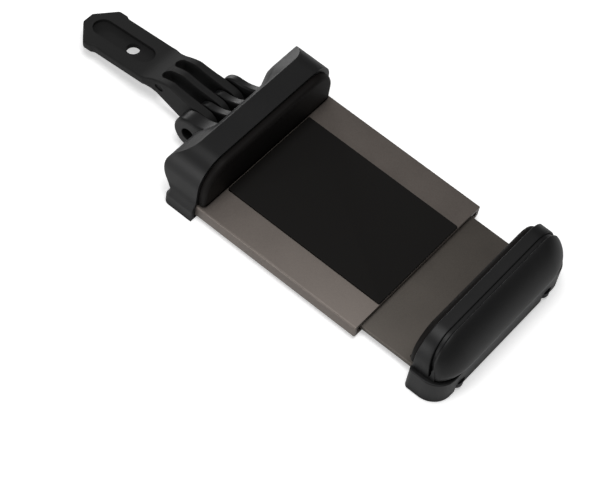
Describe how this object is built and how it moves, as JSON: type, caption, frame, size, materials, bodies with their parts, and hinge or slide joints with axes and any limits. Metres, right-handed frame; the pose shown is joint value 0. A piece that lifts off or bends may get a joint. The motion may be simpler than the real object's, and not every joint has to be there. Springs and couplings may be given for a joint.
{
  "type": "phone holder",
  "caption": "Sprung phone clamp: two nested plates with a rubber-faced jaw at each end, on a flat arm that hinges on the fixed jaw.",
  "frame": {"origin": "middle of the part's box, on the surface that the feet of both jaws stand on, with the arm at rest", "axes": "+X along the slide, from the hinged arm to the moving jaw; +Y across the plate; +Z out of the face that carries the phone"},
  "size_m": [0.1479, 0.0572, 0.0205],
  "materials": {
    "anodised_plate": "bead-blasted and anodised, satin gun-metal",
    "foam_pad": "fine matt foam rubber sheet",
    "jaw_plastic": "moulded, fine satin grain",
    "soft_rubber": "soft matt moulded rubber",
    "arm_plastic": "glass-filled nylon, satin",
    "bright_steel": "plain turned steel",
    "black_screw": "blackened steel",
    "spring_steel": "drawn wire",
    "guide_plastic": "slippery moulded plastic",
    "cover_sheet": "thin black sheet"
  },
  "bodies": {
    "cradle": {"outer_plate": "anodised_plate", "face_pad": "foam_pad", "guide_strip_left": "guide_plastic", "guide_strip_right": "guide_plastic", "back_cover": "cover_sheet", "back_cover_screws": "black_screw", "fixed_jaw_shell": "jaw_plastic", "fixed_jaw_pad": "soft_rubber", "fixed_jaw_screws": "black_screw", "hinge_pin": "bright_steel", "stop_pin": "bright_steel", "spring_left": "spring_steel", "spring_right": "spring_steel", "spring_anchor_pins": "bright_steel"},
    "moving_jaw": {"slider_plate": "anodised_plate", "moving_jaw_body": "jaw_plastic", "moving_jaw_cover": "jaw_plastic", "moving_jaw_pad": "soft_rubber", "moving_jaw_screws": "black_screw", "moving_jaw_clamp_screws": "black_screw", "slider_hook_pins": "bright_steel"},
    "arm": {"arm": "arm_plastic"}
  },
  "joints": [
    {"name": "jaw_slide", "type": "slide", "parent": "cradle", "child": "moving_jaw", "axis": [1, 0, 0], "range_m": [0, 0.025], "stiffness_N_per_m": 400, "springref_m": -0.012, "deforming": ["spring_left", "spring_right"]},
    {"name": "arm_hinge", "type": "hinge", "parent": "cradle", "child": "arm", "pos_m": [-0.02658, 0, 0.0074], "axis": [0, 1, 0], "range_deg": [-105, 95]}
  ]
}
